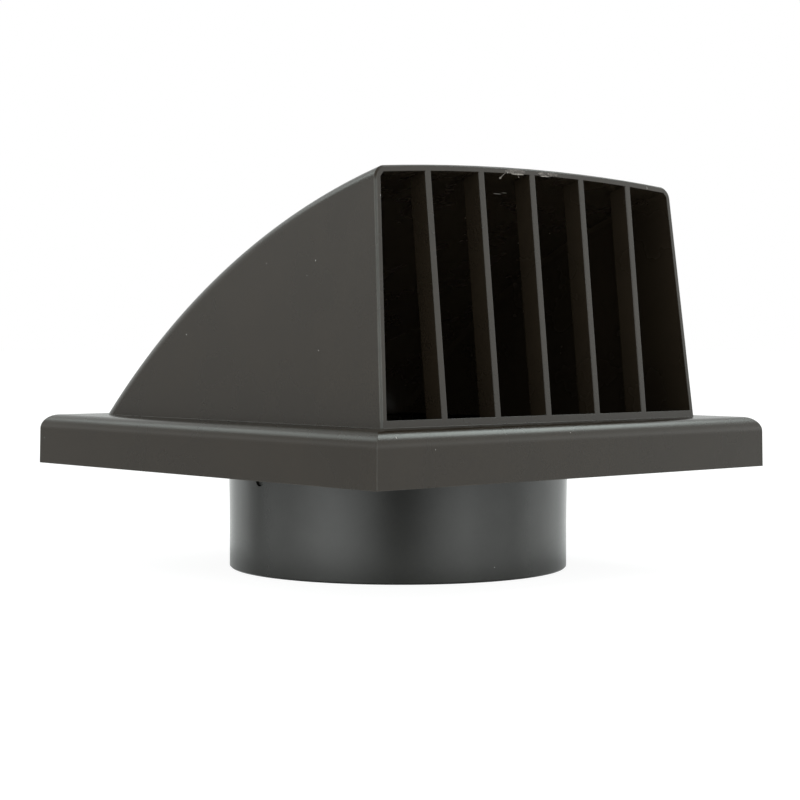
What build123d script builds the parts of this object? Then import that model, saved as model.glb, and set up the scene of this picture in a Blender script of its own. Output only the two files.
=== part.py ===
from build123d import *
from math import cos, hypot, radians, sqrt, tan
import os

# Hooded extractor vent, in millimetres.
# The origin lies on the spigot's axis in the plane of the wall.
# +Z leaves the wall, and the mouth of the hood faces -Y, which is down once the vent is on a wall.

# Duct connection
duct_bore = 100.0
duct_clearance = 0.8
spigot_length = 29.5
spigot_wall = 2.0
root_length = 16.0
root_flare = 0.3
spigot_end_bevel = 0.4

# Wall plate and skirt of the cowl
plate_size = 150.0
plate_height = 14.25
plate_round = 4.2
skirt_wall = 2.2
skirt_draft = 0.8

# Hood, placed by its margins on the wall plate
hood_margin = 14.0
mouth_margin = 14.0
roof_margin = 8.9
mouth_height = 68.78
mouth_lean = 5.93
side_draft = 3.2
roof_radius = 243.1
camber_radius = 700.0
roof_edge_round = 3.7
hood_wall = 1.75
rim_bevel = 0.55

# Grille moulded across the mouth
bar_count = 5
bar_thickness = 2.1
bar_depth = 6.0
bar_round = 0.3
sill_height = 1.9

# Back plate, its snap fit in the skirt and its wall screws
back_thickness = 2.0
back_clearance = 0.3
bead_length = 22.0
bead_clearance = 0.2
rib_thickness = 1.6
rib_depth = 4.0
rib_spread = 0.62
screw_spacing = 118.0
screw_hole_radius = 2.25
boss_wall = 2.6
boss_height = 2.0

# Back-draught flap and its seat in the spigot
pivot_offset = 3.0
pivot_depth = 2.5
pin_radius = 1.72
pin_clearance = 0.08
pin_recess = 0.6
flap_thickness = 1.5
flap_clearance = 0.6
flap_edge_bevel = 0.25
spine_wall = 0.8
stop_width = 2.5
stop_thickness = 1.5
stop_clearance = 0.2

# Sizes that follow from the spigot
spigot_radius = duct_bore / 2 - duct_clearance
root_radius = spigot_radius + root_flare
bore_radius = spigot_radius - spigot_wall
pivot_hole_radius = pin_radius + pin_clearance
pivot_z = -pivot_depth
flap_radius = bore_radius - flap_clearance
spine_radius = pin_radius + spine_wall
stop_end = 2 * spine_radius

# Sizes that follow from the wall plate
half_plate = plate_size / 2
inner_half = half_plate - skirt_wall
ceiling_z = plate_height - skirt_wall
inner_plate_round = plate_round - skirt_wall
back_half = inner_half - back_clearance
bead_root_z = 0.75 * back_thickness
bead_reach = 0.55 * bead_root_z
bead_low_z = 0.15 * bead_root_z
back_bevel = bead_root_z - back_clearance + bead_clearance
rib_spacing = rib_spread * plate_size

# Sizes that follow from the hood's margins
lean = tan(radians(mouth_lean))
lean_cos = cos(radians(mouth_lean))
draft = tan(radians(side_draft))
draft_cos = cos(radians(side_draft))
foot_half = half_plate - hood_margin
mouth_foot_y = mouth_margin - half_plate
roof_foot_y = half_plate - roof_margin
mouth_top_z = plate_height + mouth_height
mouth_top_y = mouth_foot_y + mouth_height * lean
mouth_mean_width = 2 * foot_half - mouth_height * draft
bay_width = (mouth_mean_width - 2 * hood_wall - bar_count * bar_thickness) / (bar_count + 1)
bar_pitch = bay_width + bar_thickness
skin_top_z = mouth_top_z + roof_edge_round
inner_edge_bevel = (2 - sqrt(2)) * (roof_edge_round - hood_wall)

# Centre of the roof's arc, from the chord between the mouth's top and the roof's foot
chord_y = roof_foot_y - mouth_top_y
chord_z = plate_height - mouth_top_z
chord = hypot(chord_y, chord_z)
chord_to_centre = sqrt(roof_radius**2 - (chord / 2) ** 2)
roof_centre_y = (roof_foot_y + mouth_top_y) / 2 + chord_to_centre * chord_z / chord
roof_centre_z = (plate_height + mouth_top_z) / 2 - chord_to_centre * chord_y / chord
roof_axis = Axis((0, roof_centre_y, roof_centre_z), (1, 0, 0))

roof_plane = Plane(roof_axis.position, x_dir=(1, 0, 0), z_dir=(0, -1, 0))

mouth_plane = Plane(
    origin=(0, mouth_foot_y, plate_height),
    x_dir=(1, 0, 0),
    z_dir=(0, -1, lean),
)
skirt_sections = [
    Plane(origin=(0, 0, 0), x_dir=(x, y, 0), z_dir=(y, -x, 0))
    for x, y in ((1, 0), (0, 1), (-1, 0), (0, -1))
]
bar_line = Axis(mouth_plane.origin, mouth_plane.y_dir)
mouth_normal = Axis(mouth_plane.origin, mouth_plane.z_dir)


def hood_form(inset, setback, foot_z, top_z):
    """Solid under the hood's skin, drawn in by inset, with its mouth face set back from the mouth."""
    front_y = mouth_foot_y + setback / lean_cos
    side_x = foot_half - inset / draft_cos
    crown = roof_radius - inset
    camber = camber_radius - inset
    shoulder = crown - camber + sqrt(camber**2 - half_plate**2)
    with BuildPart() as form:
        with BuildSketch(Plane.YZ):
            with BuildLine():
                Polyline(
                    (front_y + (foot_z - plate_height) * lean, foot_z),
                    (front_y + (top_z - plate_height) * lean, top_z),
                    (half_plate, top_z),
                    (half_plate, foot_z),
                    close=True,
                )
            make_face()
        extrude(amount=half_plate, both=True)
        # drafted side walls
        for side in (-1, 1):
            wall_plane = Plane(origin=(side * side_x, 0, plate_height), z_dir=(side, 0, draft))
            split(bisect_by=wall_plane, keep=Keep.BOTTOM)
        # cambered roof, turned about an axis that runs across the vent
        with BuildSketch(roof_plane):
            with BuildLine():
                ThreePointArc((-half_plate, shoulder), (0, crown), (half_plate, shoulder))
                Polyline(
                    (half_plate, shoulder),
                    (half_plate, 0),
                    (-half_plate, 0),
                    (-half_plate, shoulder),
                )
            make_face()
        revolve(axis=roof_axis, mode=Mode.INTERSECT)
    return form.part


def roof_edges(form):
    """The two curved edges along which the roof of a hood form meets its side walls."""
    curved_edges = form.edges().filter_by(GeomType.LINE, reverse=True).sort_by(Axis.X)
    return [curved_edges[0], curved_edges[-1]]


# Skin of the hood, with its roof edges rounded and the rim of its mouth bevelled
with BuildPart() as hood_skin:
    add(hood_form(0, 0, plate_height, skin_top_z))
    fillet(roof_edges(hood_skin), radius=roof_edge_round)
    mouth_edges = hood_skin.faces().sort_by(Axis.Y)[0].edges().sort_by(Axis.Z)
    chamfer(mouth_edges[1:], length=rim_bevel)

# Air space inside the hood, with its roof edges bevelled, and its opening through the wall plate
with BuildPart() as hood_cavity:
    add(hood_form(hood_wall, -mouth_margin / 2, plate_height, skin_top_z))
    chamfer(roof_edges(hood_cavity), length=inner_edge_bevel)
plate_opening = hood_form(hood_wall, bar_depth, ceiling_z - skirt_wall / 2, plate_height)

# Grille bars and sill, trimmed to the skin of the hood
with BuildPart() as grille:
    with BuildSketch(mouth_plane):
        with GridLocations(bar_pitch, 0, bar_count, 1):
            Rectangle(bar_thickness, 2 * mouth_height)
    extrude(amount=-bar_depth)
    front_edges = grille.edges().filter_by(bar_line).group_by(mouth_normal)[-1]
    fillet(front_edges, radius=bar_round)
    with BuildSketch(mouth_plane):
        Rectangle(2 * foot_half, 2 * sill_height)
    extrude(amount=-bar_depth)
    add(hood_skin.part, mode=Mode.INTERSECT)

# Cowl: wall plate, hood and grille in one moulding
with BuildPart() as cowl:
    with BuildSketch():
        Rectangle(plate_size, plate_size)
    extrude(amount=plate_height, taper=skirt_draft)
    fillet(cowl.faces().sort_by(Axis.Z)[-1].edges(), radius=plate_round)
    with BuildSketch():
        Rectangle(2 * inner_half, 2 * inner_half)
    extrude(amount=ceiling_z, mode=Mode.SUBTRACT)
    ceiling = cowl.faces().filter_by(Axis.Z).sort_by(Axis.Z)[-2]
    fillet(ceiling.edges(), radius=inner_plate_round)
    add(hood_skin.part)
    add(hood_cavity.part, mode=Mode.SUBTRACT)
    add(plate_opening, mode=Mode.SUBTRACT)
    add(grille.part)
    # ribs that stop the back plate
    with Locations((0, 0, back_thickness)):
        with PolarLocations(inner_half, 4):
            with GridLocations(0, rib_spacing, 1, 2):
                Box(
                    rib_depth,
                    rib_thickness,
                    ceiling_z - back_thickness,
                    align=(Align.MAX, Align.CENTER, Align.MIN),
                )
    # snap beads that hold the back plate up against the ribs
    with BuildSketch(*skirt_sections):
        with BuildLine():
            Polyline(
                (inner_half, bead_root_z),
                (inner_half - bead_reach, bead_root_z - bead_reach),
                (inner_half, bead_low_z),
                close=True,
            )
        make_face()
    extrude(amount=bead_length / 2, both=True)
cowl.part.label = "cowl"

# Spigot plate: back plate with the duct spigot, flap seat and screw bosses
with BuildPart() as spigot_plate:
    with BuildSketch():
        Rectangle(2 * back_half, 2 * back_half)
    extrude(amount=back_thickness)
    chamfer(spigot_plate.faces().sort_by(Axis.Z)[0].edges(), length=back_bevel)
    with BuildSketch(Plane.XY.offset(back_thickness)):
        with GridLocations(screw_spacing, screw_spacing, 2, 2):
            Circle(screw_hole_radius + boss_wall)
    extrude(amount=boss_height)
    with BuildSketch():
        with GridLocations(screw_spacing, screw_spacing, 2, 2):
            Circle(screw_hole_radius)
    extrude(amount=back_thickness + boss_height, mode=Mode.SUBTRACT)
    # spigot, straight at its end and flared towards its root
    with BuildSketch(Plane.XZ):
        with BuildLine():
            Polyline(
                (root_radius, 0),
                (root_radius, back_thickness),
                (0, back_thickness),
                (0, -spigot_length),
                (spigot_radius, -spigot_length),
                (spigot_radius, -root_length),
            )
            TangentArc((spigot_radius, -root_length), (root_radius, 0), tangent=(0, 1))
        make_face()
    revolve(axis=Axis.Z)
    spigot_end = spigot_plate.faces().sort_by(Axis.Z)[0].edges()
    chamfer(spigot_end, length=spigot_end_bevel)
    with BuildSketch(Plane.XY.offset(-spigot_length)):
        Circle(bore_radius)
    extrude(amount=spigot_length + back_thickness, mode=Mode.SUBTRACT)
    # half-ring stops: below the flap towards the mouth, above it on the other side of the spindle
    with BuildSketch(Plane.XY.offset(pivot_z - flap_thickness / 2 - stop_clearance)):
        Circle(bore_radius + spigot_wall / 2)
        Circle(bore_radius - stop_width, mode=Mode.SUBTRACT)
        with Locations((0, pivot_offset - stop_end)):
            Rectangle(
                2 * spigot_radius,
                2 * spigot_radius,
                align=(Align.CENTER, Align.MIN),
                mode=Mode.SUBTRACT,
            )
    extrude(amount=-stop_thickness)
    with BuildSketch(Plane.XY.offset(pivot_z + flap_thickness / 2 + stop_clearance)):
        Circle(bore_radius + spigot_wall / 2)
        Circle(bore_radius - stop_width, mode=Mode.SUBTRACT)
        with Locations((0, pivot_offset + stop_end)):
            Rectangle(
                2 * spigot_radius,
                2 * spigot_radius,
                align=(Align.CENTER, Align.MAX),
                mode=Mode.SUBTRACT,
            )
    extrude(amount=stop_thickness)
    # pivot holes through the spigot wall
    with BuildSketch(Plane.YZ):
        with Locations((pivot_offset, pivot_z)):
            Circle(pivot_hole_radius)
    extrude(amount=root_radius, both=True, mode=Mode.SUBTRACT)
spigot_plate.part.label = "spigot_plate"

# Flap: disc with a moulded spine whose ends are the pivot pins
with BuildPart() as flap:
    with BuildSketch(Plane.XY.offset(pivot_z - flap_thickness / 2)):
        Circle(flap_radius)
    extrude(amount=flap_thickness)
    chamfer(flap.edges().filter_by(GeomType.CIRCLE), length=flap_edge_bevel)
    with BuildSketch(Plane.YZ):
        with Locations((pivot_offset, pivot_z)):
            Circle(spine_radius)
    extrude(amount=flap_radius - spine_radius, both=True)
    with BuildSketch(Plane.YZ):
        with Locations((pivot_offset, pivot_z)):
            Circle(pin_radius)
    extrude(amount=spigot_radius - pin_recess, both=True)
flap.part.label = "flap"

os.makedirs("parts", exist_ok=True)
export_step(cowl.part, "parts/cowl.step")
export_step(spigot_plate.part, "parts/spigot_plate.step")
export_step(flap.part, "parts/flap.step")
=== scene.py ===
import logging
import math
from dataclasses import dataclass
from enum import Enum

import bpy
import numpy as np
from mathutils import Matrix, Vector
from mathutils.bvhtree import BVHTree


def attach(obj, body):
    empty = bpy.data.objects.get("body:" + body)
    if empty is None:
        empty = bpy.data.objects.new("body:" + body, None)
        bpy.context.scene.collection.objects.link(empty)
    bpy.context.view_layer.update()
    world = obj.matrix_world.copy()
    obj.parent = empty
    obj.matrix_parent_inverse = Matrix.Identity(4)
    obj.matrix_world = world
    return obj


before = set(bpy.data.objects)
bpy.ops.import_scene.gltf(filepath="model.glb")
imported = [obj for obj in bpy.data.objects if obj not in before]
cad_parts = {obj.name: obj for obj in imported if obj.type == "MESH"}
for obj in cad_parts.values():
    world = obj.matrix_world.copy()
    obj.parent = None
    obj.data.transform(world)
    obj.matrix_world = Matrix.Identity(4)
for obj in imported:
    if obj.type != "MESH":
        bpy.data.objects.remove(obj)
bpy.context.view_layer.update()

log = logging.getLogger("extractor_vent")

MM = 0.001
VENT_BODY = "vent_body"
WHITE = (1.0, 1.0, 1.0, 1.0)

# Values of the cloudy noise and of the grain that the finishes stretch to their full change.
CLOUD_RANGE = (0.3, 0.7)
GRAIN_RANGE = (0.35, 0.65)


class CadNode(str, Enum):
    """The vent's mouldings, by the names of their CAD nodes."""

    COWL = "cowl"
    SPIGOT_PLATE = "spigot_plate"
    FLAP = "flap"

    def piece(self) -> bpy.types.Object:
        """Returns the moulding's object in the frame."""
        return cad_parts[self.value]


def add_node(tree: bpy.types.NodeTree, kind: str, **settings: object) -> bpy.types.Node:
    """Adds a node and sets its plain properties.

    Args:
        tree: Node tree that gets the node.
        kind: Name of the node type.
        settings: Properties of the node, by name.

    Returns:
        The new node.
    """
    node = tree.nodes.new(kind)
    for name, value in settings.items():
        setattr(node, name, value)
    return node


def fill(node: bpy.types.Node, **values: object) -> bpy.types.Node:
    """Sets unlinked inputs of a node by socket name, with _ for a space.

    Args:
        node: Node whose inputs are set.
        values: Socket names and their values.

    Returns:
        The same node.
    """
    for name, value in values.items():
        node.inputs[name.replace("_", " ")].default_value = value
    return node


def math_node(
    tree: bpy.types.NodeTree, operation: str, first: object, second: object = 0.0
) -> bpy.types.NodeSocket:
    """Adds a Math node on two sockets or numbers.

    Args:
        tree: Node tree that gets the node.
        operation: Operation of the Math node.
        first: Socket or number for the first input.
        second: Socket or number for the second input.

    Returns:
        The node's output socket.
    """
    node = add_node(tree, "ShaderNodeMath", operation=operation)
    for socket, value in zip(node.inputs, (first, second)):
        if isinstance(value, bpy.types.NodeSocket):
            tree.links.new(value, socket)
        else:
            socket.default_value = value
    return node.outputs[0]


def map_range(
    tree: bpy.types.NodeTree,
    value: bpy.types.NodeSocket,
    low: float,
    high: float,
    to_low: float,
    to_high: float,
    smooth: bool = True,
) -> bpy.types.NodeSocket:
    """Adds a clamped Map Range node.

    Args:
        tree: Node tree that gets the node.
        value: Socket that is mapped.
        low: Value mapped to to_low.
        high: Value mapped to to_high.
        to_low: Result at and before low.
        to_high: Result at and after high.
        smooth: Whether the step is smooth at both ends.

    Returns:
        The node's result socket.
    """
    kind = "SMOOTHSTEP" if smooth else "LINEAR"
    node = add_node(tree, "ShaderNodeMapRange", interpolation_type=kind, clamp=True)
    tree.links.new(value, node.inputs["Value"])
    fill(node, From_Min=low, From_Max=high, To_Min=to_low, To_Max=to_high)
    return node.outputs["Result"]


def mix_colour(
    tree: bpy.types.NodeTree, factor: object, first: object, second: object
) -> bpy.types.NodeSocket:
    """Adds a colour Mix node on sockets or plain values.

    Args:
        tree: Node tree that gets the node.
        factor: Socket or number, 0 for the first colour and 1 for the second.
        first: Socket or RGBA colour.
        second: Socket or RGBA colour.

    Returns:
        The node's colour socket.
    """
    node = add_node(tree, "ShaderNodeMix", data_type="RGBA", blend_type="MIX")
    for index, value in ((0, factor), (6, first), (7, second)):
        if isinstance(value, bpy.types.NodeSocket):
            tree.links.new(value, node.inputs[index])
        else:
            node.inputs[index].default_value = value
    return node.outputs[2]


def rounded_normal(tree: bpy.types.NodeTree, radius: float) -> bpy.types.NodeSocket:
    """Adds a Bevel node, which rounds edges in the shading.

    Args:
        tree: Node tree that gets the node.
        radius: Radius of the rounding, in metres.

    Returns:
        Socket with the rounded normal.
    """
    return fill(add_node(tree, "ShaderNodeBevel", samples=6), Radius=radius).outputs["Normal"]


def seen_ray(tree: bpy.types.NodeTree, path: bpy.types.Node) -> bpy.types.NodeSocket:
    """Adds a node that tells rays that the camera sees, also through clear things.

    Args:
        tree: Node tree that gets the node.
        path: Light Path node of the same tree.

    Returns:
        Socket that is 1 for such a ray and 0 for others.
    """
    return math_node(
        tree, "MAXIMUM", path.outputs["Is Camera Ray"], path.outputs["Is Transmission Ray"]
    )


@dataclass(frozen=True)
class Texture:
    """A surface effect that several materials share, as a shader node group."""

    name: str
    inputs: tuple[tuple[str, str, float], ...]
    outputs: tuple[tuple[str, str], ...]

    def group(self) -> bpy.types.NodeTree:
        """Finds the group, or makes it with its sockets at the first call.

        Returns:
            The group's tree.
        """
        if self.name in bpy.data.node_groups:
            return bpy.data.node_groups[self.name]
        tree = bpy.data.node_groups.new(self.name, "ShaderNodeTree")
        for name, kind, value in self.inputs:
            socket = tree.interface.new_socket(name, in_out="INPUT", socket_type=kind)
            if kind == "NodeSocketFloat":
                socket.default_value = value
        for name, kind in self.outputs:
            tree.interface.new_socket(name, in_out="OUTPUT", socket_type=kind)
        return tree


MOULDED_TEXTURE = Texture(
    "moulded_texture",
    (
        ("Vector", "NodeSocketVector", 0.0),
        ("Grain Scale", "NodeSocketFloat", 1700.0),
        ("Cloud Scale", "NodeSocketFloat", 60.0),
    ),
    (
        ("Height", "NodeSocketFloat"),
        ("Cloud", "NodeSocketFloat"),
        ("Grain", "NodeSocketFloat"),
    ),
)


def moulded_texture() -> bpy.types.NodeTree:
    """Builds the group for the spark-eroded skin of a moulding.

    A fine noise of two octaves is the grain, a wide noise is the cloudy change of tone,
    and the height is the grain with a little of a pitted noise of half its size.

    Returns:
        The node group.
    """
    tree = MOULDED_TEXTURE.group()
    if tree.nodes:
        return tree
    entry = add_node(tree, "NodeGroupInput")
    leave = add_node(tree, "NodeGroupOutput")
    grain = fill(add_node(tree, "ShaderNodeTexNoise"), Detail=2.0, Roughness=0.55)
    pits = fill(add_node(tree, "ShaderNodeTexNoise"), Detail=1.0, Roughness=0.5)
    cloud = fill(add_node(tree, "ShaderNodeTexNoise"), Detail=3.0, Roughness=0.6)
    for node in (grain, pits, cloud):
        tree.links.new(entry.outputs["Vector"], node.inputs["Vector"])
    tree.links.new(entry.outputs["Grain Scale"], grain.inputs["Scale"])
    double = math_node(tree, "MULTIPLY", entry.outputs["Grain Scale"], 2.1)
    tree.links.new(double, pits.inputs["Scale"])
    tree.links.new(entry.outputs["Cloud Scale"], cloud.inputs["Scale"])
    pitted = map_range(tree, pits.outputs["Fac"], 0.3, 0.5, 0.0, 0.4)
    height = math_node(tree, "ADD", grain.outputs["Fac"], pitted)
    tree.links.new(height, leave.inputs["Height"])
    tree.links.new(cloud.outputs["Fac"], leave.inputs["Cloud"])
    tree.links.new(grain.outputs["Fac"], leave.inputs["Grain"])
    return tree


@dataclass(frozen=True)
class PaintedEdgeHighlight:
    """Pale colour on the sharp outer edges of the wall plate and on the sides of the mouth's rim,
    a painted highlight of their rounding.
    """

    # Pale colour that paints the highlight of the edges' rounding.
    colour: tuple[float, float, float] = (0.075, 0.070, 0.062)
    reach: float = 0.32 * MM
    plate_edge: tuple[float, float] = (73.6 * MM, 74.4 * MM)
    hood_half: float = 61.0 * MM
    hood_foot: float = 14.25 * MM
    side_draft: float = math.tan(math.radians(3.2))
    rim_edge: tuple[float, float] = (-1.2 * MM, -0.8 * MM)
    rim_foot: tuple[float, float] = (15.5 * MM, 16.5 * MM)
    sharp_turn: tuple[float, float] = (0.955, 0.992)
    blunt_turn: tuple[float, float] = (0.980, 0.999)
    patches: tuple[float, float] = (0.40, 0.60)
    least_highlight: float = 0.45

    def mask(
        self,
        tree: bpy.types.NodeTree,
        place: bpy.types.NodeSocket,
        cloud: bpy.types.NodeSocket,
    ) -> bpy.types.NodeSocket:
        """Adds nodes that find the edges that get the painted highlight.

        An edge is where a rounding of the given reach turns the surface, so that its normal and
        the rounded one have a small dot product. The painted highlight lies on the outside of the
        plate, and close to the hood's drafted side walls above their foot, and more so where the
        cloudy noise is high.

        Args:
            tree: Node tree that gets the nodes.
            place: Socket with the point's object coordinates.
            cloud: Socket with the cloudy noise.

        Returns:
            Socket with the share of painted highlight.
        """
        turned = add_node(tree, "ShaderNodeVectorMath", operation="DOT_PRODUCT")
        tree.links.new(rounded_normal(tree, self.reach), turned.inputs[0])
        tree.links.new(add_node(tree, "ShaderNodeNewGeometry").outputs["Normal"], turned.inputs[1])
        sharp = map_range(tree, turned.outputs["Value"], *self.sharp_turn, 1.0, 0.0)
        blunt = map_range(tree, turned.outputs["Value"], *self.blunt_turn, 1.0, 0.0)
        split = add_node(tree, "ShaderNodeSeparateXYZ")
        tree.links.new(place, split.inputs["Vector"])
        x, y = (math_node(tree, "ABSOLUTE", split.outputs[axis]) for axis in "XY")
        z = split.outputs["Z"]
        plate = map_range(tree, math_node(tree, "MAXIMUM", x, y), *self.plate_edge, 0.0, 1.0)
        rise = math_node(tree, "SUBTRACT", z, self.hood_foot)
        lean = math_node(tree, "MULTIPLY", rise, self.side_draft)
        wall = math_node(tree, "SUBTRACT", math_node(tree, "ADD", x, lean), self.hood_half)
        rim = map_range(tree, wall, *self.rim_edge, 0.0, 1.0)
        rim = math_node(tree, "MULTIPLY", rim, map_range(tree, z, *self.rim_foot, 0.0, 1.0))
        highlit = math_node(
            tree,
            "MAXIMUM",
            math_node(tree, "MULTIPLY", sharp, plate),
            math_node(tree, "MULTIPLY", blunt, rim),
        )
        patchy = map_range(tree, cloud, *self.patches, self.least_highlight, 1.0)
        return math_node(tree, "MULTIPLY", highlit, patchy)


@dataclass(frozen=True)
class MouldedFinish:
    """Satin finish of a moulded plastic piece."""

    name: str
    colour: tuple[float, float, float]
    tone_change: float
    roughness: float
    roughness_change: float
    grain_scale: float
    grain_depth: float
    cloud_scale: float
    edge_round: float
    specular: float = 0.5
    edge_highlight: PaintedEdgeHighlight | None = None

    def material(self) -> bpy.types.Material:
        """Builds the material, with cloudy tone, uneven sheen and a fine raised grain.

        Edges are rounded in the shading, and pale where a highlight is painted on them.

        Returns:
            The material.
        """
        material = bpy.data.materials.new(self.name)
        material.use_nodes = True
        tree = material.node_tree
        shader = fill(tree.nodes["Principled BSDF"], Specular_IOR_Level=self.specular)
        coordinates = add_node(tree, "ShaderNodeTexCoord")
        texture = add_node(tree, "ShaderNodeGroup", node_tree=moulded_texture())
        tree.links.new(coordinates.outputs["Object"], texture.inputs["Vector"])
        fill(texture, Grain_Scale=self.grain_scale, Cloud_Scale=self.cloud_scale)
        dark = tuple(c * (1 - self.tone_change) for c in self.colour) + (1.0,)
        light = tuple(c * (1 + self.tone_change) for c in self.colour) + (1.0,)
        tone = map_range(tree, texture.outputs["Cloud"], *CLOUD_RANGE, 0.0, 0.8)
        speckle = map_range(tree, texture.outputs["Grain"], *GRAIN_RANGE, -0.1, 0.2)
        share = math_node(tree, "ADD", tone, speckle)
        colour = mix_colour(tree, share, dark, light)
        # Painted highlight: pale colour mixed in on the rounded edges.
        if self.edge_highlight is not None:
            highlit = self.edge_highlight.mask(tree, coordinates.outputs["Object"], texture.outputs["Cloud"])
            colour = mix_colour(tree, highlit, colour, (*self.edge_highlight.colour, 1.0))
        tree.links.new(colour, shader.inputs["Base Color"])
        low, high = self.roughness - self.roughness_change, self.roughness + self.roughness_change
        sheen = map_range(tree, texture.outputs["Cloud"], *CLOUD_RANGE, high, low)
        tree.links.new(sheen, shader.inputs["Roughness"])
        bump = fill(add_node(tree, "ShaderNodeBump"), Strength=1.0, Distance=self.grain_depth)
        tree.links.new(texture.outputs["Height"], bump.inputs["Height"])
        tree.links.new(rounded_normal(tree, self.edge_round), bump.inputs["Normal"])
        tree.links.new(bump.outputs["Normal"], shader.inputs["Normal"])
        return material


COWL_FINISH = MouldedFinish(
    name="cowl_brown_satin",
    colour=(0.0218, 0.0158, 0.0103),
    tone_change=0.10,
    roughness=0.27,
    roughness_change=0.008,
    grain_scale=1700.0,
    grain_depth=0.012 * MM,
    cloud_scale=55.0,
    edge_round=0.22 * MM,
    specular=0.41,
    # Painted highlight on the plate's edges and the rim's sides.
    edge_highlight=PaintedEdgeHighlight(),
)

SPIGOT_FINISH = MouldedFinish(
    name="spigot_grey_satin",
    colour=(0.0245, 0.0240, 0.0220),
    tone_change=0.08,
    roughness=0.16,
    roughness_change=0.02,
    grain_scale=900.0,
    grain_depth=0.001 * MM,
    cloud_scale=70.0,
    edge_round=0.25 * MM,
    specular=0.55,
)

FLAP_FINISH = MouldedFinish(
    name="flap_grey_satin",
    colour=(0.0260, 0.0255, 0.0235),
    tone_change=0.08,
    roughness=0.32,
    roughness_change=0.03,
    grain_scale=1100.0,
    grain_depth=0.005 * MM,
    cloud_scale=70.0,
    edge_round=0.20 * MM,
)


@dataclass(frozen=True)
class TornFinish:
    """Pale, torn plastic of the gate marks, the pale dust that lies on the vent, and a painted
    glint.
    """

    name: str
    pale: tuple[float, float, float]
    dull: tuple[float, float, float]
    pale_share: tuple[float, float]
    roughness: float
    grain_scale: float
    grain_depth: float
    roughness_change: float = 0.1

    def material(self) -> bpy.types.Material:
        """Builds the material, with pale streaks where the plastic is stretched.

        Returns:
            The material.
        """
        material = bpy.data.materials.new(self.name)
        material.use_nodes = True
        tree = material.node_tree
        shader = tree.nodes["Principled BSDF"]
        coordinates = add_node(tree, "ShaderNodeTexCoord")
        texture = add_node(tree, "ShaderNodeGroup", node_tree=moulded_texture())
        tree.links.new(coordinates.outputs["Object"], texture.inputs["Vector"])
        fill(texture, Grain_Scale=self.grain_scale, Cloud_Scale=self.grain_scale / 3)
        low, high = self.pale_share
        streak = map_range(tree, texture.outputs["Grain"], low, high, 0.0, 1.0)
        colour = mix_colour(tree, streak, (*self.dull, 1.0), (*self.pale, 1.0))
        tree.links.new(colour, shader.inputs["Base Color"])
        low, high = self.roughness - self.roughness_change, self.roughness + self.roughness_change
        dullness = map_range(tree, texture.outputs["Cloud"], *CLOUD_RANGE, low, high)
        tree.links.new(dullness, shader.inputs["Roughness"])
        bump = fill(add_node(tree, "ShaderNodeBump"), Strength=1.0, Distance=self.grain_depth)
        tree.links.new(texture.outputs["Height"], bump.inputs["Height"])
        tree.links.new(bump.outputs["Normal"], shader.inputs["Normal"])
        return material


FLASH_FINISH = TornFinish(
    name="torn_flash_pale",
    pale=(0.46, 0.42, 0.385),
    dull=(0.17, 0.145, 0.128),
    pale_share=(0.35, 0.60),
    roughness=0.62,
    grain_scale=2600.0,
    grain_depth=0.03 * MM,
)

SCUFF_FINISH = TornFinish(
    name="scuffed_rim_brown",
    pale=(0.20, 0.172, 0.155),
    dull=(0.036, 0.029, 0.024),
    pale_share=(0.40, 0.66),
    roughness=0.58,
    grain_scale=2300.0,
    grain_depth=0.06 * MM,
)

# Also the finish of the streaks that paint a glint on the inner roof.
DUST_AND_GLINT_FINISH = TornFinish(
    name="dust_and_glint_pale_grey",
    pale=(0.42, 0.41, 0.39),
    dull=(0.22, 0.21, 0.20),
    pale_share=(0.30, 0.65),
    roughness=0.80,
    grain_scale=4000.0,
    grain_depth=0.02 * MM,
)


@dataclass(frozen=True)
class PhotoCamera:
    """The photograph's camera, at a distance and bearing from the vent's axis."""

    azimuth: float = math.radians(-42.304)
    elevation: float = math.radians(1.756)
    roll: float = math.radians(0.111)
    distance: float = 586.19 * MM
    aim_right: float = 0.497 * MM
    aim_height: float = 18.805 * MM
    lens: float = 90.09
    sensor: float = 36.0
    image_width: float = 800.0

    def ahead(self) -> Vector:
        """Returns the level direction from the vent to the camera."""
        return Vector((math.sin(self.azimuth), -math.cos(self.azimuth), 0.0))

    def level(self) -> Vector:
        """Returns the level direction to the right of the picture."""
        return Vector((math.cos(self.azimuth), math.sin(self.azimuth), 0.0))

    def pose(self) -> tuple[Vector, Vector, Vector, Vector]:
        """Works out where the camera stands and how it is turned.

        Returns:
            Its place and its right, up and back directions.
        """
        e, r = self.elevation, self.roll
        back = self.ahead() * math.cos(e) + Vector((0.0, 0.0, math.sin(e)))
        upright = back.cross(self.level())
        right = self.level() * math.cos(r) + upright * math.sin(r)
        up = upright * math.cos(r) - self.level() * math.sin(r)
        place = back * self.distance + self.level() * self.aim_right
        return place + Vector((0.0, 0.0, self.aim_height)), right, up, back

    def ray(self, u: float, v: float) -> tuple[Vector, Vector]:
        """Gives the sight line through a pixel of the picture.

        Args:
            u: Column of the pixel, counted from the left.
            v: Row of the pixel, counted from the top.

        Returns:
            The line's start and its direction.
        """
        place, right, up, back = self.pose()
        focal = self.lens / self.sensor * self.image_width
        middle = (self.image_width - 1) / 2
        way = right * ((u - middle) / focal) - up * ((v - middle) / focal) - back
        return place, way.normalized()

    def build(self) -> None:
        """Places the camera."""
        place, right, up, back = self.pose()
        data = bpy.data.cameras.new("photo_camera")
        data.lens, data.sensor_width, data.sensor_fit = self.lens, self.sensor, "HORIZONTAL"
        data.clip_start, data.clip_end = 0.01, 100.0
        camera = bpy.data.objects.new("photo_camera", data)
        basis = Matrix((right, up, back)).transposed().to_4x4()
        camera.matrix_world = Matrix.Translation(place) @ basis
        bpy.context.scene.collection.objects.link(camera)
        bpy.context.scene.camera = camera


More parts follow.
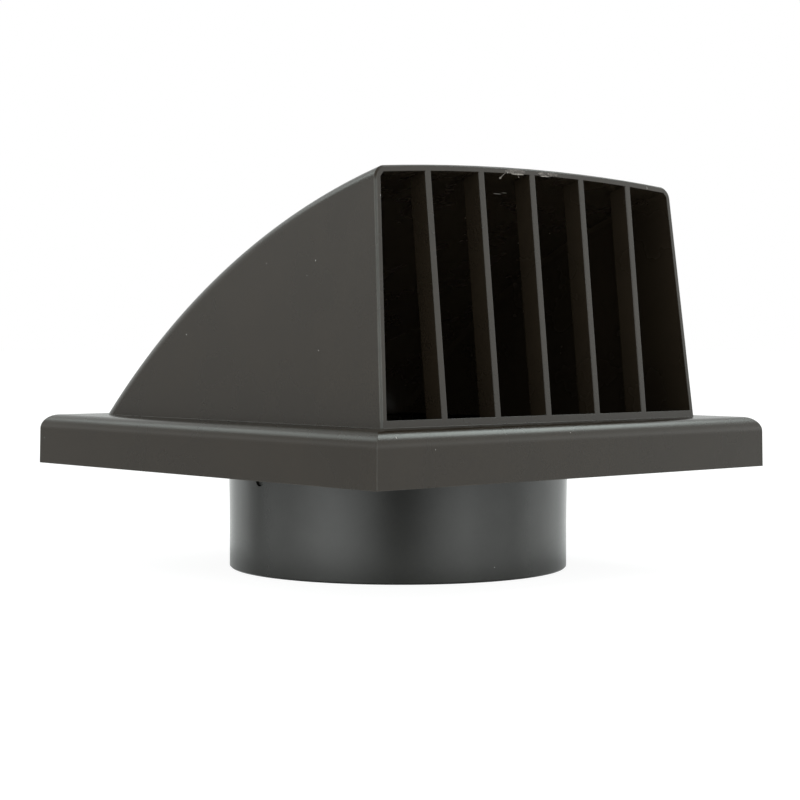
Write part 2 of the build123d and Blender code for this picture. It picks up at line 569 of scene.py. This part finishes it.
def vent_skin(pieces: tuple[bpy.types.Object, ...]) -> BVHTree:
    """Gathers the triangles of pieces for finding points on their surface.

    Args:
        pieces: Objects that the surface is made of.

    Returns:
        A search tree of all their triangles.
    """
    corners, faces, start = [], [], 0
    for piece in pieces:
        mesh = piece.data
        mesh.calc_loop_triangles()
        points = np.empty(3 * len(mesh.vertices))
        mesh.vertices.foreach_get("co", points)
        triangles = np.empty(3 * len(mesh.loop_triangles), dtype=np.int32)
        mesh.loop_triangles.foreach_get("vertices", triangles)
        corners.append(points.reshape(-1, 3))
        faces.append(triangles.reshape(-1, 3) + start)
        start += len(mesh.vertices)
    return BVHTree.FromPolygons(
        np.concatenate(corners).tolist(), np.concatenate(faces).tolist(), all_triangles=True
    )


def grid_piece(name: str, sheets: np.ndarray, finish: TornFinish) -> None:
    """Makes one piece of closed tubes, each a grid of rings whose end rings are closed.

    Point (k, i, j) is point j of ring i of tube k. Each quad joins neighbours on a ring and on
    the next ring, the last point of a ring joins the first, and each end ring is one face. The
    piece rides on the vent.

    Args:
        name: Name of the piece.
        sheets: Points of all tubes, tubes by rings by points by 3, in metres.
        finish: Finish of the piece.
    """
    tubes, rings, points = sheets.shape[:3]
    index = np.arange(tubes * rings * points).reshape(tubes, rings, points)
    after = np.roll(index, -1, axis=2)
    quads = np.stack(
        [index[:, :-1], after[:, :-1], after[:, 1:], index[:, 1:]], axis=-1
    ).reshape(-1, 4)
    faces = quads.tolist() + index[:, 0, ::-1].tolist() + index[:, -1].tolist()
    mesh = bpy.data.meshes.new(name)
    mesh.from_pydata(sheets.reshape(-1, 3).tolist(), [], faces)
    mesh.polygons.foreach_set("use_smooth", np.ones(len(mesh.polygons), dtype=bool))
    mesh.materials.append(finish.material())
    piece = bpy.data.objects.new(name, mesh)
    bpy.context.scene.collection.objects.link(piece)
    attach(piece, VENT_BODY)
    log.info("piece %s of %d faces", name, len(faces))


def swell(count: int) -> np.ndarray:
    """Returns the ring sizes of a closed lump: the square root of a sine, 0.05 at both ends."""
    return np.maximum(np.sqrt(np.sin(np.linspace(0.0, math.pi, count))), 0.05)


@dataclass(frozen=True)
class MouthRim:
    """The top rim of the mouth, as the inner and outer roof cut it in the mouth's plane."""

    plate_height: float = 14.25 * MM
    mouth_foot_y: float = -61.0 * MM
    roof_foot_y: float = 66.1 * MM
    mouth_height: float = 68.78 * MM
    lean: float = math.radians(5.93)
    roof_radius: float = 243.1 * MM
    camber_radius: float = 700.0 * MM
    hood_wall: float = 1.75 * MM

    def height(self, x: np.ndarray, inset: float) -> np.ndarray:
        """Finds how high the roof meets the mouth's plane, above the wall plate.

        The roof is an arc of the camber's radius turned about a level axis below the vent. At x
        its distance from that axis is the roof's radius less the arc's fall, and the line up
        the leaning mouth meets that circle at the larger root of a quadratic.

        Args:
            x: Places across the mouth.
            inset: Depth below the outer roof.

        Returns:
            Heights, one for each x.
        """
        slope = math.tan(self.lean)
        top_y, top_z = self.mouth_foot_y + self.mouth_height * slope, self.mouth_height
        chord_y, chord_z = self.roof_foot_y - top_y, -top_z
        chord = math.hypot(chord_y, chord_z)
        reach = math.sqrt(self.roof_radius**2 - (chord / 2) ** 2)
        centre_y = (self.roof_foot_y + top_y) / 2 + reach * chord_z / chord
        centre_z = top_z / 2 - reach * chord_y / chord
        camber = self.camber_radius - inset
        radius = self.roof_radius - inset - camber + np.sqrt(camber**2 - x**2)
        a = 1.0 + slope**2
        b = (self.mouth_foot_y - centre_y) * slope - centre_z
        c = (self.mouth_foot_y - centre_y) ** 2 + centre_z**2 - radius**2
        return (-b + np.sqrt(b**2 - a * c)) / a

    def place(self, x: np.ndarray, height: np.ndarray, proud: np.ndarray) -> np.ndarray:
        """Gives points at a height up the leaning mouth and a distance in front of it.

        Args:
            x: Places across the mouth.
            height: Heights above the wall plate.
            proud: Distances in front of the mouth's plane.

        Returns:
            Points, with x, y and z along the last axis.
        """
        y = self.mouth_foot_y + height * math.tan(self.lean) - proud * math.cos(self.lean)
        return np.stack([x, y, self.plate_height + height + proud * math.sin(self.lean)], axis=-1)


@dataclass(frozen=True)
class GateScar:
    """A torn gate mark: a scuffed patch on the rim and a pale lip along its inner edge.

    The patch and the lip are given by their first and last x, and the drop is how far the lip
    hangs below the rim's inner edge.
    """

    name: str
    patch: tuple[float, float]
    lip: tuple[float, float]
    lip_drop: float
    seed: int
    patch_heights: tuple[float, float] = (-0.05 * MM, 1.20 * MM)
    patch_thickness: float = 0.08 * MM
    patch_ragged: float = 0.32
    lip_top: float = 0.06 * MM
    lip_thickness: float = 0.14 * MM
    lip_ragged: float = 0.35
    rings: int = 72
    points: int = 14

    def strip(
        self,
        rim: MouthRim,
        span: tuple[float, float],
        heights: tuple[float, float],
        thickness: float,
        ragged: float,
    ) -> np.ndarray:
        """Carries a flat oval along the rim's inner edge.

        Ring i stands at an even step of x. Its oval is as high and as thick as the given sizes,
        times a smooth random factor along x and a small one for each point, and shrinks almost
        to a point at both ends.

        Args:
            rim: Rim that carries the mark.
            span: First and last x.
            heights: Lowest and highest edge, measured up from the rim's inner edge.
            thickness: Half of the oval's thickness. Its back half is sunk in the rim.
            ragged: Share by which the oval's size varies along x.

        Returns:
            Points of one tube, 1 by rings by points by 3.
        """
        rng = np.random.default_rng(self.seed)
        x = np.linspace(*span, self.rings)[:, None]
        rough = np.convolve(rng.uniform(-1.0, 1.0, self.rings + 4), np.ones(5) / 5, "valid")
        size = (swell(self.rings) * (1.0 + ragged * 2.0 * rough))[:, None]
        turn = np.linspace(0.0, 2.0 * math.pi, self.points, endpoint=False)[None, :]
        middle, half = (heights[0] + heights[1]) / 2, (heights[1] - heights[0]) / 2
        lumps = 1.0 + ragged * rng.uniform(-0.5, 0.5, (self.rings, self.points))
        up = rim.height(x, rim.hood_wall) + middle + half * size * np.sin(turn) * lumps
        out = thickness * size * np.cos(turn) * lumps
        return rim.place(np.broadcast_to(x, up.shape), up, out)[None]

    def build(self, rim: MouthRim) -> None:
        """Builds the patch and the lip.

        Args:
            rim: Rim that carries the mark.
        """
        patch = self.strip(
            rim, self.patch, self.patch_heights, self.patch_thickness, self.patch_ragged
        )
        grid_piece(f"{self.name}_scuff", patch, SCUFF_FINISH)
        heights = (-self.lip_drop, self.lip_top)
        lip = self.strip(rim, self.lip, heights, self.lip_thickness, self.lip_ragged)
        grid_piece(f"{self.name}_lip", lip, FLASH_FINISH)


@dataclass(frozen=True)
class TornStrand:
    """A thread of plastic drawn out of the gate mark, with a bead at its end."""

    name: str
    root_x: float = -10.3 * MM
    end_x: float = -12.75 * MM
    drop: float = 1.70 * MM
    thickness: float = 0.045 * MM
    bead: float = 0.24 * MM
    bead_share: float = 0.20
    sag_share: float = 0.25
    tilt: float = 0.6
    root_depth: float = 0.1 * MM
    rings: int = 40
    points: int = 10

    def build(self, rim: MouthRim) -> None:
        """Builds the thread.

        A tilted circle is carried from the rim's inner edge down to the bead, on a line that
        falls partly with the square of the way along it. Its radius is the thread's, and over
        the bead's share of the line it swells by half a sine to the bead's and closes.

        Args:
            rim: Rim that carries the thread.
        """
        along = np.linspace(0.0, 1.0, self.rings)[:, None]
        turn = np.linspace(0.0, 2.0 * math.pi, self.points, endpoint=False)[None, :]
        bulge = np.clip((along - 1.0) / self.bead_share + 1.0, 0.0, 1.0)
        radius = self.thickness + (self.bead - self.thickness) * np.sin(math.pi * bulge)
        radius[-1] = 0.1 * self.thickness
        x = self.root_x + (self.end_x - self.root_x) * along + radius * np.cos(turn)
        start = rim.height(np.array([[self.root_x]]), rim.hood_wall) + self.root_depth
        sag = self.drop * ((1.0 - self.sag_share) * along + self.sag_share * along**2)
        up = start - sag - self.tilt * radius * np.cos(turn)
        out = radius * np.sin(turn)
        grid_piece(self.name, rim.place(x, up, out)[None], FLASH_FINISH)


@dataclass(frozen=True)
class DustAndGlint:
    """Pale flecks that lie on the vent where the picture shows them, and two wide pale streaks on
    the inner roof that paint a glint.

    Each has the column and row of its pixel, and its half width and half height in millimetres.
    """

    flecks: tuple[tuple[float, float, float, float], ...] = (
        (395.7, 437.2, 0.20, 0.33),
        (570.0, 432.0, 0.16, 0.16),
        (44.0, 437.0, 0.18, 0.18),
        (315.0, 260.0, 0.20, 0.24),
        (306.5, 275.0, 0.10, 0.12),
        (266.0, 263.0, 0.13, 0.13),
        (186.0, 334.0, 0.15, 0.21),
        (318.0, 350.0, 0.15, 0.15),
        (494.0, 567.0, 0.15, 0.18),
        (507.0, 171.5, 0.12, 0.50),
        (509.5, 170.8, 0.15, 0.65),
        (512.0, 171.5, 0.20, 0.25),
        (646.5, 187.5, 0.10, 0.42),
        (380.0, 194.5, 0.16, 0.18),
        # These two wide streaks paint a glint on the inner roof.
        (497.0, 193.3, 1.50, 0.17),
        (503.5, 192.4, 1.00, 0.10),
        (435.0, 449.2, 0.10, 0.14),
    )
    rise_span: tuple[float, float] = (-0.3, 0.98)
    uneven_span: tuple[float, float] = (0.7, 1.25)
    rings: int = 7
    points: int = 9
    seed: int = 7

    def build(self, camera: PhotoCamera, skin: BVHTree) -> None:
        """Builds all flecks as one piece.

        Each is a flat dome about the surface's normal at the point behind its pixel. Ring i has
        the half width and half height times a cosine, and stands at a third of the smaller times
        the sine, of an angle that rises from a little below the surface to nearly a quarter
        turn. A random factor for each point makes it uneven.

        Args:
            camera: Camera that the picture was taken with.
            skin: Surface of the vent that the flecks lie on.
        """
        hits = [skin.ray_cast(*camera.ray(u, v))[:2] for u, v, _, _ in self.flecks]
        place = np.array([hit[0] for hit in hits])[:, None, None, :]
        normal = np.array([hit[1] for hit in hits])
        up = np.array([0.0, 0.0, 1.0]) - normal * normal[:, 2:3]
        up /= np.linalg.norm(up, axis=1, keepdims=True)
        side = np.cross(up, normal)
        wide, tall = np.array(self.flecks)[:, 2:].T[:, :, None, None] * MM
        rise = np.linspace(*self.rise_span, self.rings)[None, :, None] * math.pi / 2
        turn = np.linspace(0.0, 2.0 * math.pi, self.points, endpoint=False)[None, None, :]
        rng = np.random.default_rng(self.seed)
        uneven = rng.uniform(*self.uneven_span, (len(self.flecks), 1, self.points))
        flat = np.cos(rise) * uneven
        parts = (
            (wide * flat * np.cos(turn), side),
            (tall * flat * np.sin(turn), up),
            (np.minimum(wide, tall) / 3.0 * np.sin(rise) + 0.0 * turn, normal),
        )
        points = sum(amount[..., None] * axis[:, None, None, :] for amount, axis in parts)
        grid_piece("dust_and_glint_flecks", place + points, DUST_AND_GLINT_FINISH)


@dataclass
class Cowl:
    """The brown moulding: hood, grille and wall plate, with the torn gate marks on its rim."""

    finish: MouldedFinish = COWL_FINISH
    rim: MouthRim = MouthRim()
    scars: tuple[GateScar, ...] = (
        GateScar("gate_scar_left", (-10.6 * MM, -2.6 * MM), (-8.2 * MM, -3.2 * MM), 0.24 * MM, 3),
        GateScar("gate_scar_right", (2.2 * MM, 10.4 * MM), (3.0 * MM, 6.8 * MM), 0.20 * MM, 11),
    )
    strands: tuple[TornStrand, ...] = (
        TornStrand("torn_strand_left"),
        TornStrand("torn_strand_right", -6.0 * MM, -5.4 * MM, 1.1 * MM, 0.03 * MM, 0.13 * MM),
    )

    def dress(self) -> None:
        """Gives the CAD cowl its finish."""
        CadNode.COWL.piece().data.materials[0] = self.finish.material()
        log.info("cowl dressed in %s", self.finish.name)

    def build(self) -> bpy.types.Object:
        """Dresses the cowl and builds the marks on its rim.

        Returns:
            The cowl.
        """
        self.dress()
        for scar in self.scars:
            scar.build(self.rim)
        for strand in self.strands:
            strand.build(self.rim)
        return CadNode.COWL.piece()


@dataclass
class SpigotSet:
    """The spigot plate and the flap that hangs in it."""

    spigot_finish: MouldedFinish = SPIGOT_FINISH
    flap_finish: MouldedFinish = FLAP_FINISH

    def dress(self) -> bpy.types.Object:
        """Gives the CAD spigot plate and flap their finishes.

        Returns:
            The spigot plate.
        """
        spigot_plate = CadNode.SPIGOT_PLATE.piece()
        spigot_plate.data.materials[0] = self.spigot_finish.material()
        log.info("spigot plate dressed in %s", self.spigot_finish.name)
        CadNode.FLAP.piece().data.materials[0] = self.flap_finish.material()
        log.info("flap dressed in %s", self.flap_finish.name)
        return spigot_plate


@dataclass(frozen=True)
class Softbox:
    """A rectangular studio lamp that looks at the vent, with its power in watts."""

    name: str
    direction: tuple[float, float, float]
    distance: float
    width: float
    height: float
    power: float
    colour: tuple[float, float, float] = (0.89, 1.0, 0.97)

    def build(self, target: Vector) -> None:
        """Places the lamp and turns it to the target.

        Args:
            target: Point that the lamp looks at, in metres.
        """
        lamp = bpy.data.lights.new(self.name, "AREA")
        lamp.shape = "RECTANGLE"
        lamp.size, lamp.size_y = self.width, self.height
        lamp.energy = self.power
        lamp.color = self.colour
        holder = bpy.data.objects.new(self.name, lamp)
        towards = Vector(self.direction).normalized()
        holder.location = target + towards * self.distance
        holder.rotation_euler = towards.to_track_quat("Z", "Y").to_euler()
        bpy.context.scene.collection.objects.link(holder)


@dataclass
class Studio:
    """Camera, lamps, white surroundings and floor.

    The room is a table of light levels by bearing, in degrees to the right of the camera's
    bearing, times a table of levels by the sine of the height angle.
    """

    camera: PhotoCamera = PhotoCamera()
    by_bearing: tuple[tuple[float, float], ...] = (
        (-180.0, 1.20),
        (-155.0, 1.20),
        (-124.0, 0.98),
        (-108.0, 0.62),
        (-95.0, 1.05),
        (-73.0, 1.38),
        (-45.0, 2.25),
        (-19.0, 1.27),
        (0.0, 0.38),
        (22.0, 1.05),
        (43.0, 1.80),
        (57.0, 1.60),
        (76.0, 1.30),
        (86.0, 1.20),
        (99.0, 1.40),
        (130.0, 1.18),
        (155.0, 1.25),
        (180.0, 1.20),
    )
    by_height: tuple[tuple[float, float], ...] = (
        (-1.0, 0.15),
        (-0.40, 0.20),
        (-0.25, 0.28),
        (-0.16, 0.60),
        (-0.10, 1.02),
        (-0.04, 0.81),
        (0.02, 0.60),
        (0.08, 1.03),
        (0.15, 1.38),
        (0.25, 1.24),
        (0.38, 0.92),
        (0.50, 0.72),
        (1.0, 0.66),
    )
    top_level: float = 2.5
    room_tint: tuple[float, float, float] = (0.965, 1.0, 0.985)
    lamps: tuple[Softbox, ...] = (
        Softbox("right_bank", (0.684, -0.124, 0.719), 1.0, 0.5, 0.28, 2.1),
        Softbox("left_bank", (-0.299, 0.752, 0.588), 1.0, 0.45, 0.25, 0.74),
        Softbox("front_bank", (-0.655, -0.715, 0.245), 1.2, 0.35, 0.30, 1.6),
    )
    floor_z: float = -29.5 * MM
    floor_half: float = 8.0
    floor_grey: float = 0.85
    shade_grey: float = 0.22
    floor_glow: float = 0.90
    contact: tuple[float, float] = (60.0 * MM, 170.0 * MM)
    contact_mirror: float = 0.35
    back_wall: tuple[float, float] = (-0.78, -0.62)
    target: tuple[float, float, float] = (0.0, 0.0, 30.0 * MM)

    def level_ramp(
        self,
        tree: bpy.types.NodeTree,
        value: bpy.types.NodeSocket,
        table: tuple[tuple[float, float], ...],
    ) -> bpy.types.NodeSocket:
        """Adds a ramp that turns a value into a light level.

        Args:
            tree: Node tree that gets the ramp.
            value: Socket that is looked up.
            table: Values and their levels, in rising order.

        Returns:
            Socket with the level as a share of the top level.
        """
        first, last = table[0][0], table[-1][0]
        ramp = add_node(tree, "ShaderNodeValToRGB")
        tree.links.new(map_range(tree, value, first, last, 0.0, 1.0, False), ramp.inputs["Fac"])
        ramp.color_ramp.interpolation = "CARDINAL"
        band = ramp.color_ramp.elements
        while len(band) < len(table):
            band.new(0.5)
        for element, (place, level) in zip(band, table):
            element.position = (place - first) / (last - first)
            element.color = (*(level / self.top_level,) * 3, 1.0)
        return ramp.outputs["Color"]

    def build_world(self) -> None:
        """Builds white surroundings for the camera and a soft room for the light.

        The white wall behind the vent is what the camera sees, what shows through clear things
        and what a gloss that looks past the vent shows. All other light is the room's.
        """
        world = bpy.data.worlds.new("studio_room")
        bpy.context.scene.world = world
        world.use_nodes = True
        tree = world.node_tree
        tree.nodes.clear()
        direction = add_node(tree, "ShaderNodeTexCoord").outputs["Generated"]
        shares = []
        for axis in (self.camera.level(), self.camera.ahead()):
            share = add_node(tree, "ShaderNodeVectorMath", operation="DOT_PRODUCT")
            tree.links.new(direction, share.inputs[0])
            share.inputs[1].default_value = axis
            shares.append(share.outputs["Value"])
        bearing = math_node(tree, "DEGREES", math_node(tree, "ARCTAN2", *shares))
        split = add_node(tree, "ShaderNodeSeparateXYZ")
        tree.links.new(direction, split.inputs["Vector"])
        level = math_node(
            tree,
            "MULTIPLY",
            self.level_ramp(tree, bearing, self.by_bearing),
            self.level_ramp(tree, split.outputs["Z"], self.by_height),
        )
        level = math_node(tree, "MULTIPLY", level, self.top_level**2)
        path = add_node(tree, "ShaderNodeLightPath")
        behind = map_range(tree, shares[1], *self.back_wall, 1.0, 0.0)
        gloss = math_node(tree, "MULTIPLY", path.outputs["Is Glossy Ray"], behind)
        seen = seen_ray(tree, path)
        strength = add_node(tree, "ShaderNodeMix", data_type="FLOAT")
        tree.links.new(math_node(tree, "MAXIMUM", seen, gloss), strength.inputs[0])
        tree.links.new(level, strength.inputs[2])
        strength.inputs[3].default_value = 1.0
        shell = add_node(tree, "ShaderNodeBackground")
        tint = mix_colour(tree, seen, (*self.room_tint, 1.0), WHITE)
        tree.links.new(tint, shell.inputs["Color"])
        tree.links.new(strength.outputs[0], shell.inputs["Strength"])
        leave = add_node(tree, "ShaderNodeOutputWorld")
        tree.links.new(shell.outputs["Background"], leave.inputs["Surface"])

    def build_floor(self) -> None:
        """Builds the pale floor, a grid of corners at plus and minus its half width.

        To the camera it is nearly white by itself and keeps a share of plain shading for the
        vent's shadow. From below it is clear. To a gloss it shows the room, and its own shaded
        grey close to the vent.
        """
        half, z = self.floor_half, self.floor_z
        steps = np.linspace(-half, half, 2)
        x, y = np.meshgrid(steps, steps, indexing="ij")
        corners = np.stack([x, y, np.full_like(x, z)], axis=-1).reshape(-1, 3)
        mesh = bpy.data.meshes.new("studio_floor")
        mesh.from_pydata(corners.tolist(), [], [(0, 2, 3, 1)])
        floor = bpy.data.objects.new("studio_floor", mesh)
        bpy.context.scene.collection.objects.link(floor)
        material = bpy.data.materials.new("pale_floor")
        material.use_nodes = True
        tree = material.node_tree
        tree.nodes.clear()
        plain = add_node(tree, "ShaderNodeBsdfDiffuse")
        fill(plain, Color=(*(self.floor_grey,) * 3, 1.0))
        shaded = add_node(tree, "ShaderNodeBsdfDiffuse")
        fill(shaded, Color=(*(self.shade_grey,) * 3, 1.0))
        glow = add_node(tree, "ShaderNodeEmission")
        fill(glow, Color=WHITE, Strength=self.floor_glow)
        white = add_node(tree, "ShaderNodeAddShader")
        tree.links.new(shaded.outputs[0], white.inputs[0])
        tree.links.new(glow.outputs[0], white.inputs[1])
        path = add_node(tree, "ShaderNodeLightPath")
        seen = seen_ray(tree, path)
        choice = add_node(tree, "ShaderNodeMixShader")
        tree.links.new(seen, choice.inputs[0])
        tree.links.new(plain.outputs[0], choice.inputs[1])
        tree.links.new(white.outputs[0], choice.inputs[2])
        reach = add_node(tree, "ShaderNodeVectorMath", operation="LENGTH")
        tree.links.new(add_node(tree, "ShaderNodeTexCoord").outputs["Object"], reach.inputs[0])
        mirror = map_range(tree, reach.outputs["Value"], *self.contact, self.contact_mirror, 1.0)
        gloss = math_node(tree, "MULTIPLY", path.outputs["Is Glossy Ray"], mirror)
        back = add_node(tree, "ShaderNodeNewGeometry").outputs["Backfacing"]
        clear = add_node(tree, "ShaderNodeBsdfTransparent")
        sided = add_node(tree, "ShaderNodeMixShader")
        tree.links.new(math_node(tree, "MAXIMUM", back, gloss), sided.inputs[0])
        tree.links.new(choice.outputs[0], sided.inputs[1])
        tree.links.new(clear.outputs[0], sided.inputs[2])
        leave = add_node(tree, "ShaderNodeOutputMaterial")
        tree.links.new(sided.outputs[0], leave.inputs["Surface"])
        mesh.materials.append(material)

    def build(self) -> None:
        """Builds the whole studio."""
        self.camera.build()
        self.build_world()
        for lamp in self.lamps:
            lamp.build(Vector(self.target))
        self.build_floor()
        bpy.context.scene.view_settings.view_transform = "Standard"
        log.info("studio built")


def main() -> None:
    """Builds the studio and dresses the vent."""
    logging.basicConfig(level=logging.INFO, format="%(name)s: %(message)s")
    studio = Studio()
    studio.build()
    outside = (Cowl().build(), SpigotSet().dress())
    DustAndGlint().build(studio.camera, vent_skin(outside))


if __name__ == "__main__":
    main()
